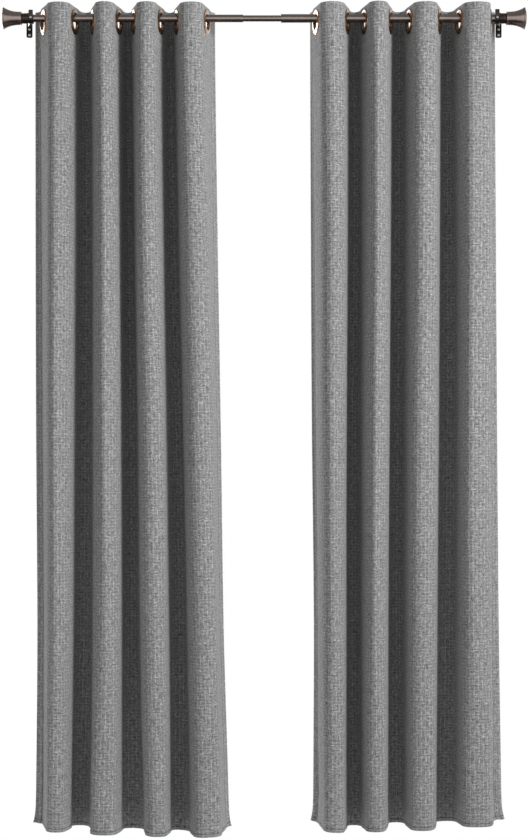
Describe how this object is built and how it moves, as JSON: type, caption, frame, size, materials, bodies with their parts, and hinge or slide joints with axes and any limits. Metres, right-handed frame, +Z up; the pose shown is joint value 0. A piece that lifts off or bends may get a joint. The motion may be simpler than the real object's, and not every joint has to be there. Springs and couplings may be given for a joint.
{
  "type": "curtain panel pair on a rod",
  "caption": "Pair of floor-length grommet-top tweed curtain panels hanging in soft folds on a telescoping bronze rod with flared finials and wall brackets.",
  "frame": {"origin": "on the wall, midway between the two brackets, level with the rod's axis", "axes": "+X to the right along the rod, +Y into the wall, +Z up"},
  "size_m": [1.3626, 0.1458, 2.1367],
  "materials": {
    "tweed": "matte",
    "rod_bronze": "satin",
    "finial_bronze": "satin",
    "collar_bronze": "satin",
    "bracket_bronze": "satin",
    "grommet_bronze": "satin",
    "screw_steel": "satin",
    "bush_nylon": "matte"
  },
  "bodies": {
    "wall_brackets": {"left_wall_bracket": "bracket_bronze", "right_wall_bracket": "bracket_bronze", "left_wall_screw_upper": "screw_steel", "left_wall_screw_lower": "screw_steel", "right_wall_screw_upper": "screw_steel", "right_wall_screw_lower": "screw_steel"},
    "left_set_screw": {"left_set_screw": "screw_steel"},
    "right_set_screw": {"right_set_screw": "screw_steel"},
    "left_tube": {"left_outer_tube": "rod_bronze", "left_end_plug": "collar_bronze"},
    "left_finial": {"left_finial": "finial_bronze"},
    "inner_tube": {"inner_tube": "rod_bronze"},
    "right_tube": {"right_outer_tube": "rod_bronze", "right_end_plug": "collar_bronze", "guide_bush": "bush_nylon"},
    "right_finial": {"right_finial": "finial_bronze"},
    "left_pleat_1": {"left_panel_pleat_1": "tweed", "left_grommet_1": "grommet_bronze"},
    "left_pleat_2": {"left_panel_pleat_2": "tweed", "left_grommet_2": "grommet_bronze"},
    "left_pleat_3": {"left_panel_pleat_3": "tweed", "left_grommet_3": "grommet_bronze"},
    "left_pleat_4": {"left_panel_pleat_4": "tweed", "left_grommet_4": "grommet_bronze"},
    "left_pleat_5": {"left_panel_pleat_5": "tweed", "left_grommet_5": "grommet_bronze"},
    "left_pleat_6": {"left_panel_pleat_6": "tweed", "left_grommet_6": "grommet_bronze"},
    "left_pleat_7": {"left_panel_pleat_7": "tweed", "left_grommet_7": "grommet_bronze"},
    "left_pleat_8": {"left_panel_pleat_8": "tweed", "left_grommet_8": "grommet_bronze"},
    "right_pleat_1": {"right_panel_pleat_1": "tweed", "right_grommet_1": "grommet_bronze"},
    "right_pleat_2": {"right_panel_pleat_2": "tweed", "right_grommet_2": "grommet_bronze"},
    "right_pleat_3": {"right_panel_pleat_3": "tweed", "right_grommet_3": "grommet_bronze"},
    "right_pleat_4": {"right_panel_pleat_4": "tweed", "right_grommet_4": "grommet_bronze"},
    "right_pleat_5": {"right_panel_pleat_5": "tweed", "right_grommet_5": "grommet_bronze"},
    "right_pleat_6": {"right_panel_pleat_6": "tweed", "right_grommet_6": "grommet_bronze"},
    "right_pleat_7": {"right_panel_pleat_7": "tweed", "right_grommet_7": "grommet_bronze"},
    "right_pleat_8": {"right_panel_pleat_8": "tweed", "right_grommet_8": "grommet_bronze"}
  },
  "joints": [
    {"name": "left_set_screw_turn", "type": "hinge", "parent": "wall_brackets", "child": "left_set_screw", "pos_m": [-0.6035, -0.101, 0], "axis": [0, 1, 0], "continuous": true},
    {"name": "right_set_screw_turn", "type": "hinge", "parent": "wall_brackets", "child": "right_set_screw", "pos_m": [0.6035, -0.101, 0], "axis": [0, 1, 0], "continuous": true},
    {"name": "rod_lift", "type": "slide", "parent": "wall_brackets", "child": "left_tube", "axis": [0, 0, 1], "range_m": [0, 0.04]},
    {"name": "left_finial_turn", "type": "hinge", "parent": "left_tube", "child": "left_finial", "pos_m": [-0.65, -0.085, 0], "axis": [1, 0, 0], "continuous": true},
    {"name": "left_telescope", "type": "slide", "parent": "left_tube", "child": "inner_tube", "axis": [1, 0, 0], "range_m": [0, 0.1]},
    {"name": "right_telescope", "type": "slide", "parent": "inner_tube", "child": "right_tube", "axis": [1, 0, 0], "range_m": [0, 0.1]},
    {"name": "right_finial_turn", "type": "hinge", "parent": "right_tube", "child": "right_finial", "pos_m": [0.65, -0.085, 0], "axis": [1, 0, 0], "continuous": true},
    {"name": "left_panel_slide", "type": "slide", "parent": "left_tube", "child": "left_pleat_1", "axis": [1, 0, 0], "range_m": [0, 0.04]},
    {"name": "left_pleat_2_follow", "type": "slide", "parent": "left_pleat_1", "child": "left_pleat_2", "axis": [1, 0, 0], "range_m": [-0.01138, 0.00458]},
    {"name": "left_pleat_3_follow", "type": "slide", "parent": "left_pleat_1", "child": "left_pleat_3", "axis": [1, 0, 0], "range_m": [-0.02678, 0.01036]},
    {"name": "left_pleat_4_follow", "type": "slide", "parent": "left_pleat_1", "child": "left_pleat_4", "axis": [1, 0, 0], "range_m": [-0.0528, 0.02011]},
    {"name": "left_pleat_5_follow", "type": "slide", "parent": "left_pleat_1", "child": "left_pleat_5", "axis": [1, 0, 0], "range_m": [-0.07074, 0.02684]},
    {"name": "left_pleat_6_follow", "type": "slide", "parent": "left_pleat_1", "child": "left_pleat_6", "axis": [1, 0, 0], "range_m": [-0.09706, 0.03671]},
    {"name": "left_pleat_7_follow", "type": "slide", "parent": "left_pleat_1", "child": "left_pleat_7", "axis": [1, 0, 0], "range_m": [-0.11039, 0.04171]},
    {"name": "left_panel_draw", "type": "slide", "parent": "left_pleat_1", "child": "left_pleat_8", "axis": [1, 0, 0], "range_m": [-0.12, 0.045]},
    {"name": "right_panel_slide", "type": "slide", "parent": "left_tube", "child": "right_pleat_1", "axis": [-1, 0, 0], "range_m": [0, 0.04]},
    {"name": "right_pleat_2_follow", "type": "slide", "parent": "right_pleat_1", "child": "right_pleat_2", "axis": [-1, 0, 0], "range_m": [-0.0103, 0.00662]},
    {"name": "right_pleat_3_follow", "type": "slide", "parent": "right_pleat_1", "child": "right_pleat_3", "axis": [-1, 0, 0], "range_m": [-0.02575, 0.01628]},
    {"name": "right_pleat_4_follow", "type": "slide", "parent": "right_pleat_1", "child": "right_pleat_4", "axis": [-1, 0, 0], "range_m": [-0.05411, 0.03401]},
    {"name": "right_pleat_5_follow", "type": "slide", "parent": "right_pleat_1", "child": "right_pleat_5", "axis": [-1, 0, 0], "range_m": [-0.07439, 0.04668]},
    {"name": "right_pleat_6_follow", "type": "slide", "parent": "right_pleat_1", "child": "right_pleat_6", "axis": [-1, 0, 0], "range_m": [-0.09787, 0.06135]},
    {"name": "right_pleat_7_follow", "type": "slide", "parent": "right_pleat_1", "child": "right_pleat_7", "axis": [-1, 0, 0], "range_m": [-0.11093, 0.06952]},
    {"name": "right_panel_draw", "type": "slide", "parent": "right_pleat_1", "child": "right_pleat_8", "axis": [-1, 0, 0], "range_m": [-0.12, 0.075]}
  ],
  "couplings": [
    {"joint": "left_pleat_2_follow", "follows": "left_panel_draw", "ratio": 0.09066},
    {"joint": "left_pleat_3_follow", "follows": "left_panel_draw", "ratio": 0.21901},
    {"joint": "left_pleat_4_follow", "follows": "left_panel_draw", "ratio": 0.43587},
    {"joint": "left_pleat_5_follow", "follows": "left_panel_draw", "ratio": 0.58534},
    {"joint": "left_pleat_6_follow", "follows": "left_panel_draw", "ratio": 0.80466},
    {"joint": "left_pleat_7_follow", "follows": "left_panel_draw", "ratio": 0.91573},
    {"joint": "right_pleat_2_follow", "follows": "right_panel_draw", "ratio": 0.08164},
    {"joint": "right_pleat_3_follow", "follows": "right_panel_draw", "ratio": 0.21042},
    {"joint": "right_pleat_4_follow", "follows": "right_panel_draw", "ratio": 0.44676},
    {"joint": "right_pleat_5_follow", "follows": "right_panel_draw", "ratio": 0.61573},
    {"joint": "right_pleat_6_follow", "follows": "right_panel_draw", "ratio": 0.81139},
    {"joint": "right_pleat_7_follow", "follows": "right_panel_draw", "ratio": 0.92028}
  ]
}
